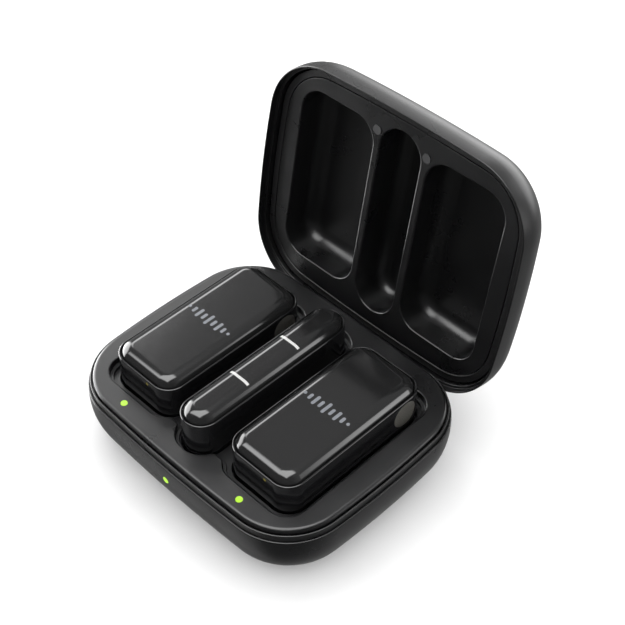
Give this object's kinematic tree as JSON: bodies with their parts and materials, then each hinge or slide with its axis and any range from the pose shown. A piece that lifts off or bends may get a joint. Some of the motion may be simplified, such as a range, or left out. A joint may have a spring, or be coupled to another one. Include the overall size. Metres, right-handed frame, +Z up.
{
  "type": "wireless microphone set in a charging case",
  "caption": "Open pebble-shaped charging case with clip-on wireless transmitters and a plug-in receiver seated in shaped bays, lid on a rear hinge.",
  "frame": {"origin": "centre of the case's flat underside, on the surface it stands on", "axes": "+Z up, +Y from the front of the case to its hinge, +X along the hinge to the right as seen from the front"},
  "size_m": [0.0826, 0.0939, 0.0794],
  "materials": {
    "case_shell": "fine matt texture",
    "case_lip": "satin",
    "deck": "fine satin texture",
    "gloss_body": "polished",
    "smoked_cover": "clear-coated",
    "grey_print": "printed",
    "port_mesh": "fine mesh",
    "lime_light": "lit lens",
    "white_light": "lit lens",
    "amber_light": "dim lens",
    "bumper": "soft",
    "clip_plastic": "polished",
    "black_insert": "moulded",
    "circuit_board": "solder mask",
    "battery_foil": "foil pouch",
    "gold_contact": "plated",
    "magnet": "plated",
    "steel": "bright"
  },
  "bodies": {
    "case": {"case_bottom_shell": "case_shell", "case_lip_ring": "case_lip", "case_deck_tray": "deck", "case_battery": "battery_foil", "case_circuit_board": "circuit_board", "case_board_screws": "steel", "case_charge_port": "steel", "case_port_tongue": "black_insert", "receiver_dock_socket": "steel", "receiver_dock_tongue": "black_insert", "front_led": "lime_light", "case_magnets": "magnet", "hinge_pin": "steel", "left_charge_pins": "gold_contact", "right_charge_pins": "gold_contact", "left_charge_pin_block": "black_insert", "right_charge_pin_block": "black_insert", "left_deck_led": "lime_light", "right_deck_led": "lime_light"},
    "lid": {"lid_outer_shell": "case_shell", "lid_inner_ring": "case_lip", "lid_liner": "deck", "lid_left_pocket": "deck", "lid_right_pocket": "deck", "lid_receiver_pocket": "deck", "lid_bumpers": "bumper", "lid_magnets": "magnet", "lid_hinge_knuckle": "case_shell"},
    "left_transmitter": {"left_body_shell": "gloss_body", "left_top_cover": "smoked_cover", "left_cover_mark": "grey_print", "left_port_cover": "port_mesh", "left_circuit_board": "circuit_board", "left_battery": "battery_foil", "left_mic_capsule": "steel", "left_status_led": "amber_light", "left_charge_contacts": "gold_contact", "left_clip_pin": "steel", "left_clip_spring": "steel"},
    "right_transmitter": {"right_body_shell": "gloss_body", "right_top_cover": "smoked_cover", "right_cover_mark": "grey_print", "right_port_cover": "port_mesh", "right_circuit_board": "circuit_board", "right_battery": "battery_foil", "right_mic_capsule": "steel", "right_status_led": "amber_light", "right_charge_contacts": "gold_contact", "right_clip_pin": "steel", "right_clip_spring": "steel"},
    "receiver": {"receiver_body_shell": "gloss_body", "receiver_top_cover": "smoked_cover", "receiver_light_bars": "white_light", "receiver_circuit_board": "circuit_board", "receiver_plug_shell": "steel", "receiver_plug_insert": "black_insert"},
    "left_clip_arm": {"left_clip": "clip_plastic"},
    "right_clip_arm": {"right_clip": "clip_plastic"}
  },
  "joints": [
    {"name": "lid_hinge", "type": "hinge", "parent": "case", "child": "lid", "pos_m": [0, 0.0315, 0.0155], "axis": [-1, 0, 0], "range_deg": [-100, 0]},
    {"name": "left_transmitter_lift", "type": "slide", "parent": "case", "child": "left_transmitter", "axis": [0, 0, 1], "range_m": [0, 0.035]},
    {"name": "right_transmitter_lift", "type": "slide", "parent": "case", "child": "right_transmitter", "axis": [0, 0, 1], "range_m": [0, 0.035]},
    {"name": "receiver_lift", "type": "slide", "parent": "case", "child": "receiver", "axis": [0, 0, 1], "range_m": [0, 0.035]},
    {"name": "left_clip_pivot", "type": "hinge", "parent": "left_transmitter", "child": "left_clip_arm", "pos_m": [-0.02055, 0.0077, 0.0126], "axis": [1, 0, 0], "range_deg": [0, 10], "stiffness_Nm_per_rad": 0.05, "springref_deg": -34.38},
    {"name": "right_clip_pivot", "type": "hinge", "parent": "right_transmitter", "child": "right_clip_arm", "pos_m": [0.02055, 0.0077, 0.0126], "axis": [1, 0, 0], "range_deg": [0, 10], "stiffness_Nm_per_rad": 0.05, "springref_deg": -34.38}
  ]
}
